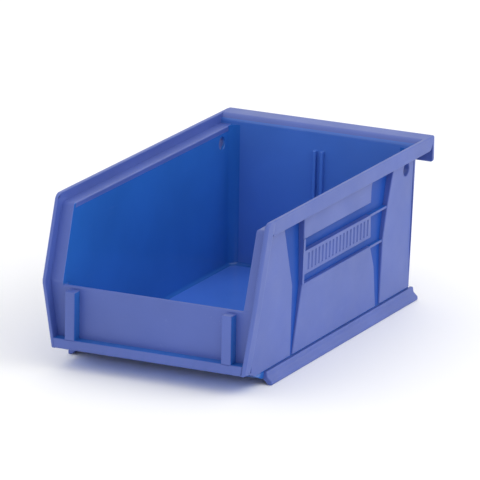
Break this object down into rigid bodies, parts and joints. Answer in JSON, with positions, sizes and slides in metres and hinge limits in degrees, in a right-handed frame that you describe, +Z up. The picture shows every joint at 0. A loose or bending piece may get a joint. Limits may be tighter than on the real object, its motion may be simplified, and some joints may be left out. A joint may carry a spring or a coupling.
{
  "type": "hanging parts bin",
  "caption": "Small open bin with a sloped hopper front, label frame, stacking ledges, base rails and a rear lip that hangs on a rail or louvred panel.",
  "frame": {"origin": "centre of the bounding box in plan, at the bottom of the base rails", "axes": "+X right as seen from the front, -Y the open hopper front, +Y the hang lip, +Z up"},
  "size_m": [0.1048, 0.1872, 0.0762],
  "materials": {
    "satin_blue": "fine satin moulded texture on outer faces",
    "polished_blue": "polished mould surface inside the bin and in the recesses"
  },
  "bodies": {
    "root": {"floor_pan": "polished_blue", "back_wall": "polished_blue", "front_panel": "satin_blue", "label_rib_left": "satin_blue", "label_rib_right": "satin_blue", "label_bar": "satin_blue", "divider_ribs": "polished_blue", "hang_lip_top": "satin_blue", "hang_lip_plate": "satin_blue", "left_wall_skin": "polished_blue", "right_wall_skin": "polished_blue", "left_front_rim": "satin_blue", "right_front_rim": "satin_blue", "left_front_ledge": "satin_blue", "right_front_ledge": "satin_blue", "left_rim_band": "satin_blue", "right_rim_band": "satin_blue", "left_stacking_ledge": "satin_blue", "right_stacking_ledge": "satin_blue", "left_front_stile": "satin_blue", "right_front_stile": "satin_blue", "left_upper_panel": "satin_blue", "right_upper_panel": "satin_blue", "left_grip_band": "satin_blue", "right_grip_band": "satin_blue", "left_lower_panel": "satin_blue", "right_lower_panel": "satin_blue", "left_rear_stile": "satin_blue", "right_rear_stile": "satin_blue", "left_pocket_shelves": "polished_blue", "right_pocket_shelves": "polished_blue", "left_base_rail": "satin_blue", "right_base_rail": "satin_blue", "left_lip_gusset": "satin_blue", "right_lip_gusset": "satin_blue"}
  },
  "joints": []
}
